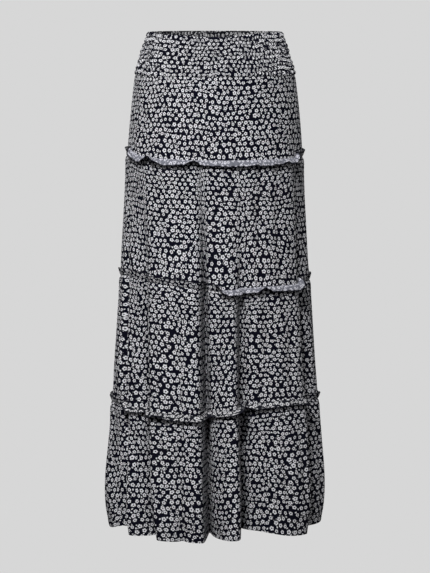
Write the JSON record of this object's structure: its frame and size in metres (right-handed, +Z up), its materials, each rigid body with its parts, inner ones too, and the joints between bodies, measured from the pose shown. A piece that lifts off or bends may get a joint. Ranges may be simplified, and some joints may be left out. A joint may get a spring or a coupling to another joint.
{
  "type": "maxi skirt",
  "caption": "Long tiered pull-on skirt in its worn shape, with a smocked elastic waist, gathered tiers joined by narrow frills, and a small flower print.",
  "frame": {"origin": "middle of the waist opening, level with the waistband's top edge at the sides, where the wearer's waist holds the skirt", "axes": "+Z up, -Y the front, +X to the right of someone who looks at the front; the skirt hangs from the origin towards -Z"},
  "size_m": [0.4183, 0.298, 0.94],
  "materials": {
    "printed_cloth": "soft matt woven viscose, navy ground covered with small off-white flowers",
    "smocked_cloth": "the same printed viscose, puckered by rows of elastic thread",
    "frill_cloth": "the same printed viscose, with its paler wrong side turned out in places"
  },
  "bodies": {
    "root": {"waistband_front": "smocked_cloth", "waistband_back": "smocked_cloth", "tier1_front": "printed_cloth", "tier1_back": "printed_cloth", "tier2_front": "printed_cloth", "tier2_back": "printed_cloth", "tier3_front": "printed_cloth", "tier3_back": "printed_cloth", "tier4_front": "printed_cloth", "tier4_back": "printed_cloth", "frill1_front": "frill_cloth", "frill1_back": "frill_cloth", "frill2_front": "frill_cloth", "frill2_back": "frill_cloth", "frill3_front": "frill_cloth", "frill3_back": "frill_cloth"}
  },
  "joints": []
}
